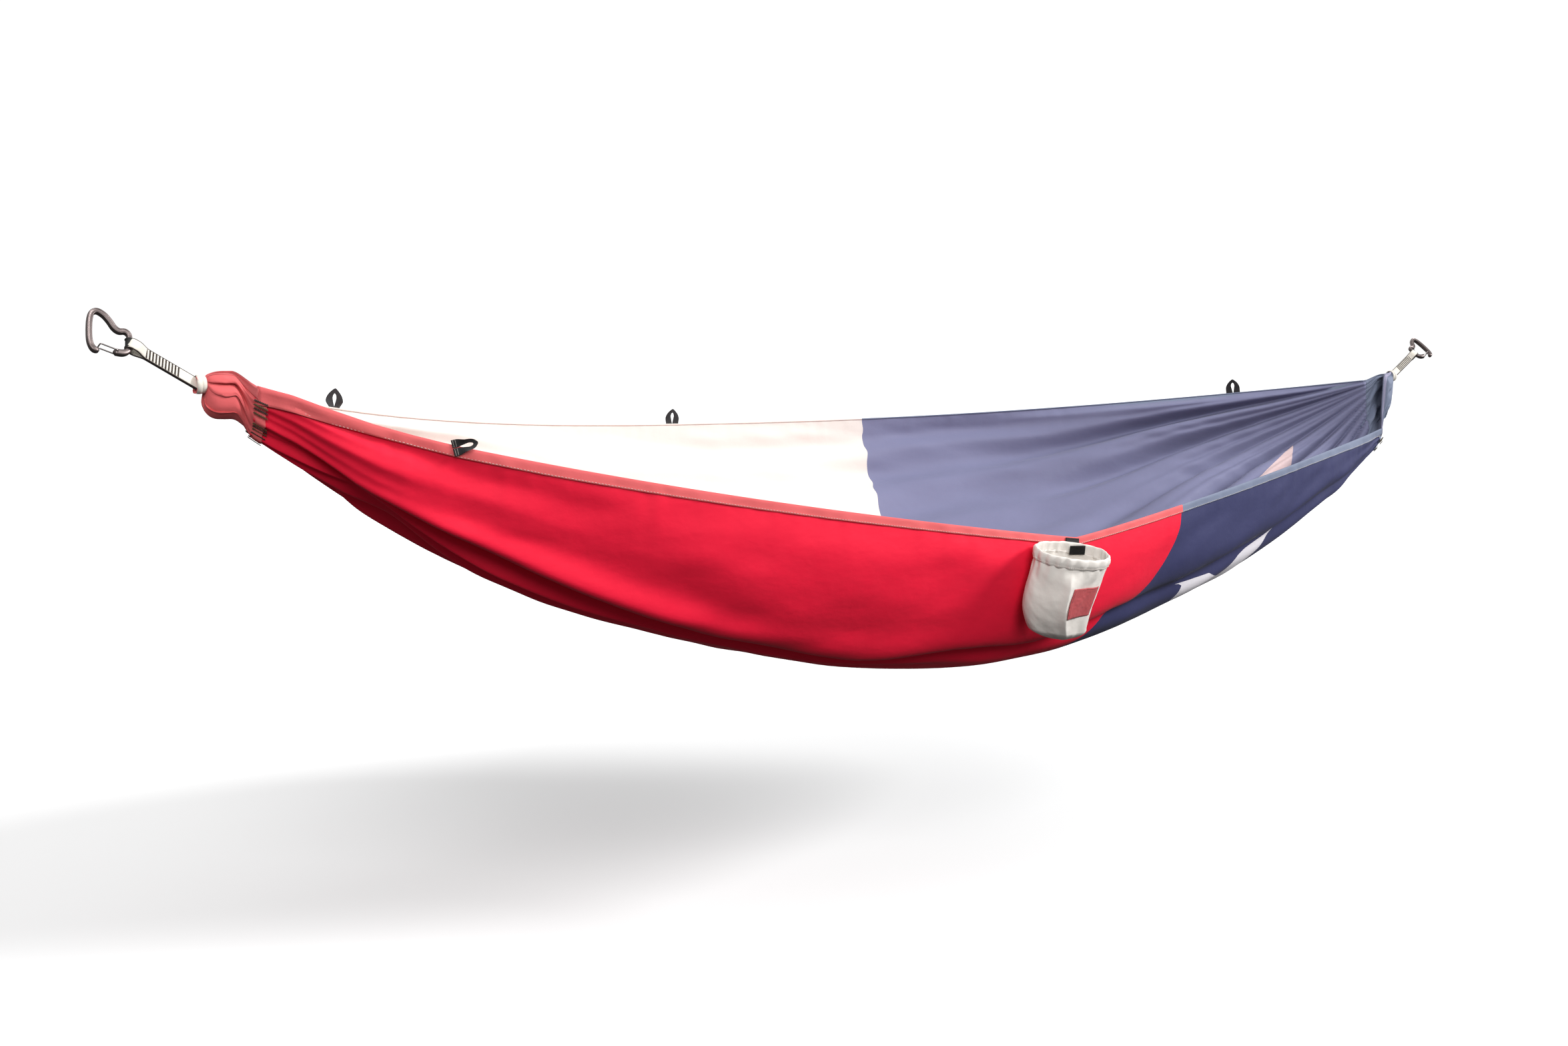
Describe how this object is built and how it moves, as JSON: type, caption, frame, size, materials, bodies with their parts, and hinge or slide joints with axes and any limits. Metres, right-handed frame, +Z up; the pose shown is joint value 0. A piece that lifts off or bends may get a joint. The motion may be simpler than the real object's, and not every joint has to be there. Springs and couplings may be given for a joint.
{
  "type": "camping hammock",
  "caption": "Gathered-end camping hammock hung spread open, with tacked webbing slings, wire-gate carabiners, ribbon gear loops and an attached stuff sack.",
  "frame": {"origin": "midway between the two gathered throats, on the line the hammock hangs along", "axes": "+X along the hang line to the right end, +Y to the back rim, +Z up"},
  "size_m": [2.8693, 1.0377, 0.575],
  "materials": {
    "print": "smooth ripstop nylon, printed on the outside, paler reverse inside",
    "reverse": "the same cloth folded over, reverse side out",
    "webbing": "off-white woven webbing with a dark edge",
    "thread": "dense dark bar-tack stitching",
    "ribbon": "black woven ribbon",
    "sack": "thin off-white nylon",
    "patch": "plain red sewn patch",
    "alloy": "gunmetal anodised, forged",
    "wire": "drawn stainless wire",
    "rubber": "matt black rubber"
  },
  "bodies": {
    "bed": {"bed_cloth": "print", "front_hem": "reverse", "back_hem": "reverse", "left_channel": "print", "right_channel": "print", "left_hitch_wrap": "webbing", "right_hitch_wrap": "webbing", "left_bartack_1": "thread", "left_bartack_2": "thread", "left_bartack_3": "thread", "left_bartack_4": "thread", "right_bartack_1": "thread", "right_bartack_2": "thread", "right_bartack_3": "thread", "right_bartack_4": "thread", "gear_loop_back_left": "ribbon", "gear_loop_back_middle": "ribbon", "gear_loop_back_right": "ribbon", "gear_loop_front_left": "ribbon", "gear_loop_front_right": "ribbon", "sack_tab": "ribbon"},
    "stuff_sack": {"sack_body": "sack", "sack_collar": "sack", "sack_patch": "patch", "sack_label": "ribbon"},
    "left_sling": {"left_sling": "webbing", "left_sling_tacks": "thread"},
    "left_carabiner": {"left_carabiner": "alloy", "left_keeper": "rubber"},
    "left_gate": {"left_gate": "wire"},
    "right_sling": {"right_sling": "webbing", "right_sling_tacks": "thread"},
    "right_carabiner": {"right_carabiner": "alloy", "right_keeper": "rubber"},
    "right_gate": {"right_gate": "wire"}
  },
  "joints": [
    {"name": "left_sling_swing", "type": "hinge", "parent": "bed", "child": "left_sling", "pos_m": [-1.3, 0, 0], "axis": [0, 1, 0], "range_deg": [-40, 45]},
    {"name": "left_carabiner_swing", "type": "hinge", "parent": "left_sling", "child": "left_carabiner", "pos_m": [-1.38279, 0, 0.05054], "axis": [0.1729, 0.4226, 0.8897], "range_deg": [-60, 60]},
    {"name": "left_gate_open", "type": "hinge", "parent": "left_carabiner", "child": "left_gate", "pos_m": [-1.39929, -0.006, 0.04063], "axis": [-0.0806, 0.9063, -0.4148], "range_deg": [0, 28], "stiffness_Nm_per_rad": 0.02, "springref_deg": -20.05},
    {"name": "right_sling_swing", "type": "hinge", "parent": "bed", "child": "right_sling", "pos_m": [1.3, 0, 0], "axis": [0, -1, 0], "range_deg": [-40, 45]},
    {"name": "right_carabiner_swing", "type": "hinge", "parent": "right_sling", "child": "right_carabiner", "pos_m": [1.38279, 0, 0.05054], "axis": [-0.0895, 0.766, 0.6365], "range_deg": [-60, 60]},
    {"name": "right_gate_open", "type": "hinge", "parent": "right_carabiner", "child": "right_gate", "pos_m": [1.39823, -0.01088, 0.04349], "axis": [-0.1066, -0.6428, 0.7586], "range_deg": [0, 28], "stiffness_Nm_per_rad": 0.02, "springref_deg": -20.05},
    {"name": "sack_swing", "type": "hinge", "parent": "bed", "child": "stuff_sack", "pos_m": [-0.0118, -0.30506, -0.25062], "axis": [-1, 0, 0], "range_deg": [0, 85]}
  ]
}
